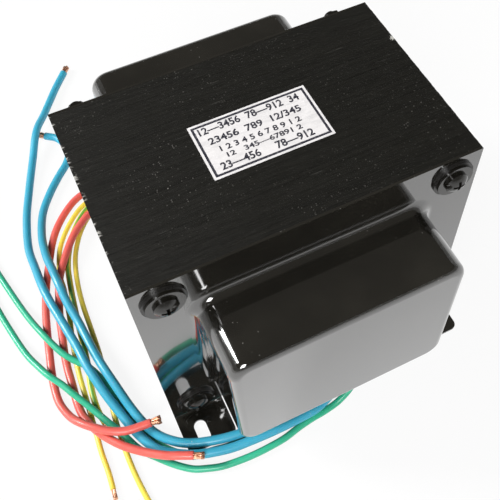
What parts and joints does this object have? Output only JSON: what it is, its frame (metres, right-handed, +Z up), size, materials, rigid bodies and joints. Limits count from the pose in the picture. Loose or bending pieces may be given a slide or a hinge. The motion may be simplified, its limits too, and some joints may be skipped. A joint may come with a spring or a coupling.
{
  "type": "laminated chassis transformer",
  "caption": "Laminated transformer between drawn black steel covers with slotted feet, clamped by corner bolts, with coloured flying leads from two grommets.",
  "frame": {"origin": "on the plane of the feet, below the middle of the body without its leads", "axes": "+X to the right along the core's width, +Y to the rear through the stack, +Z up"},
  "size_m": [0.196, 0.266, 0.1122],
  "materials": {
    "cover_enamel": "gloss black stove enamel on drawn steel",
    "lamination_varnish": "semi-matte black varnish over the edges of the sheets",
    "fastener_enamel": "gloss black enamel on plated steel",
    "bobbin_nylon": "moulded, satin",
    "enamelled_copper": "copper wire under clear enamel",
    "copper_foil": "bright rolled copper foil",
    "polyester_film": "amber film",
    "insulating_board": "pressed paper tube",
    "fibre_black": "vulcanised fibre, enamelled over",
    "grommet_rubber": "moulded, matte",
    "label_paper": "white printed film",
    "pvc_blue": "glossy flexible PVC",
    "pvc_green": "glossy flexible PVC",
    "pvc_red": "glossy flexible PVC",
    "pvc_yellow": "glossy flexible PVC",
    "pvc_yellow_green": "glossy flexible PVC with a green stripe",
    "tinned_copper": "bare stranded copper"
  },
  "bodies": {
    "root": {"front_cover": "cover_enamel", "rear_cover": "cover_enamel", "e_lamination_packets": "lamination_varnish", "i_lamination_packets": "lamination_varnish", "bobbin": "bobbin_nylon", "primary_winding": "enamelled_copper", "auxiliary_winding": "enamelled_copper", "secondary_winding_a": "enamelled_copper", "secondary_winding_b": "enamelled_copper", "screen_foil": "copper_foil", "layer_insulation": "polyester_film", "outer_wrap": "polyester_film", "clamp_bolts": "fastener_enamel", "flat_washers": "fastener_enamel", "spring_washers": "fastener_enamel", "hex_nuts": "fastener_enamel", "bolt_sleeves": "insulating_board", "fibre_washers": "fibre_black", "front_grommet": "grommet_rubber", "rear_grommet": "grommet_rubber", "rating_label": "label_paper", "blue_lead_a": "pvc_blue", "blue_lead_b": "pvc_blue", "green_lead_a": "pvc_green", "green_lead_b": "pvc_green", "red_lead_a": "pvc_red", "red_lead_b": "pvc_red", "yellow_lead_a": "pvc_yellow", "yellow_lead_b": "pvc_yellow", "earth_lead": "pvc_yellow_green", "bare_tips": "tinned_copper"}
  },
  "joints": []
}
